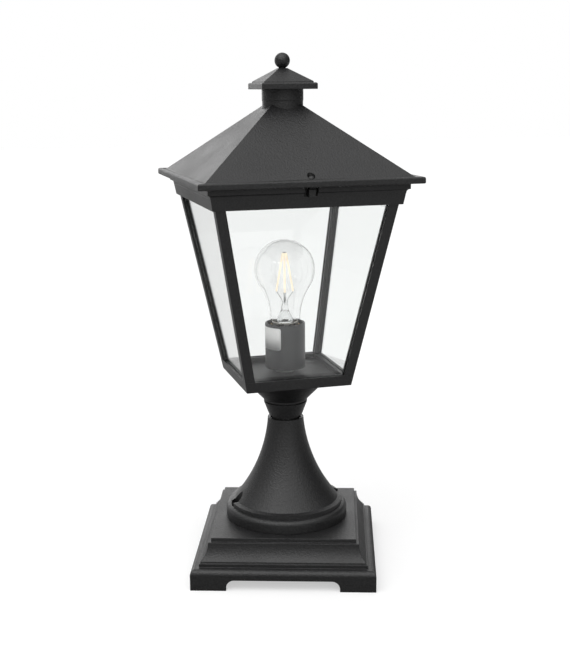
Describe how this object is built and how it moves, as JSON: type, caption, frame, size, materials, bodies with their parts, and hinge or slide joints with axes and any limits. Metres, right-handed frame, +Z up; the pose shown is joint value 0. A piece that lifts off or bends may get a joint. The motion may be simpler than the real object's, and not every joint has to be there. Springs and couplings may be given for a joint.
{
  "type": "lantern table lamp",
  "caption": "Black cast lantern lamp with tapered glass sides, hinged pyramid roof, clear bulb and flared pillar on a moulded square plinth.",
  "frame": {"origin": "floor level under the plinth's centre, on the lamp's axis", "axes": "+Z up along the lamp's axis; the lantern is square to X and Y with its catch at the front, -Y, and the plinth is turned 18.2 degrees under it"},
  "size_m": [0.228, 0.228, 0.5099],
  "materials": {
    "black_paint": "matte, finely textured black powder coat on cast aluminium",
    "zinc_steel": "satin zinc plate",
    "brass": "satin",
    "pane_glass": "clear polished float glass",
    "bulb_glass": "clear thin blown glass",
    "stem_glass": "clear glass",
    "glow_rod": "pale yellow coating",
    "cap_nickel": "satin nickel plate",
    "black_insulator": "gloss black glass-ceramic",
    "holder_plastic": "matte dark grey moulding",
    "holder_ceramic": "unglazed off-white",
    "black_nylon": "matte black moulding",
    "ivory_plastic": "satin ivory moulding",
    "brown_sleeve": "satin brown insulation",
    "blue_sleeve": "satin blue insulation",
    "earth_sleeve": "satin green and yellow insulation",
    "rubber_ring": "matte black"
  },
  "bodies": {
    "base": {"plinth": "black_paint"},
    "lamp": {"swivel_plate": "zinc_steel", "plate_screws": "zinc_steel", "wave_washer": "zinc_steel", "clamp_nut": "zinc_steel", "cable_gland": "black_nylon", "gland_nut": "black_nylon", "pillar": "black_paint", "terminal_bracket": "zinc_steel", "terminal_block": "ivory_plastic", "terminal_screws": "brass", "lead_live": "brown_sleeve", "lead_neutral": "blue_sleeve", "lead_earth": "earth_sleeve", "earth_tag": "brass", "earth_screw": "zinc_steel", "stem_tube": "zinc_steel", "stem_nut_lower": "zinc_steel", "stem_nut_upper": "zinc_steel", "collar": "black_paint", "lantern_base": "black_paint", "corner_posts": "black_paint", "cornice": "black_paint", "hinge_pins": "zinc_steel", "glass_front": "pane_glass", "glass_right": "pane_glass", "glass_back": "pane_glass", "glass_left": "pane_glass", "holder_base": "holder_plastic", "holder_shell": "holder_plastic", "holder_insert": "holder_ceramic", "thread_sleeve": "brass", "centre_contact": "brass"},
    "contact": {"cap_contact": "cap_nickel"},
    "bulb": {"screw_cap": "cap_nickel", "cap_insulator": "black_insulator", "bulb_glass": "bulb_glass", "bulb_stem": "stem_glass", "glow_rods": "glow_rod", "rod_wires": "zinc_steel"},
    "roof": {"roof": "black_paint", "chimney_cap": "black_paint", "finial": "black_paint", "finial_nut": "zinc_steel"},
    "catch": {"catch_screw": "black_paint", "catch_ring": "rubber_ring"}
  },
  "joints": [
    {"name": "lamp_swivel", "type": "hinge", "parent": "base", "child": "lamp", "pos_m": [0, 0, 0.0467], "axis": [0, 0, 1], "range_deg": [-180, 180]},
    {"name": "roof_hinge", "type": "hinge", "parent": "lamp", "child": "roof", "pos_m": [0, 0.0994, 0.387], "axis": [-1, 0, 0], "range_deg": [0, 104]},
    {"name": "catch_turn", "type": "hinge", "parent": "roof", "child": "catch", "pos_m": [0, -0.0934, 0.3966], "axis": [0, 0, 1], "range_deg": [0, 3600]},
    {"name": "bulb_rise", "type": "slide", "parent": "lamp", "child": "contact", "axis": [0, 0, 1], "range_m": [0, 0.01453]},
    {"name": "bulb_unscrew", "type": "hinge", "parent": "contact", "child": "bulb", "pos_m": [0, 0, 0.24], "axis": [0, 0, 1], "range_deg": [0, 1440]}
  ],
  "couplings": [
    {"joint": "bulb_rise", "follows": "bulb_unscrew", "m_per_rad": 0.00057773}
  ]
}
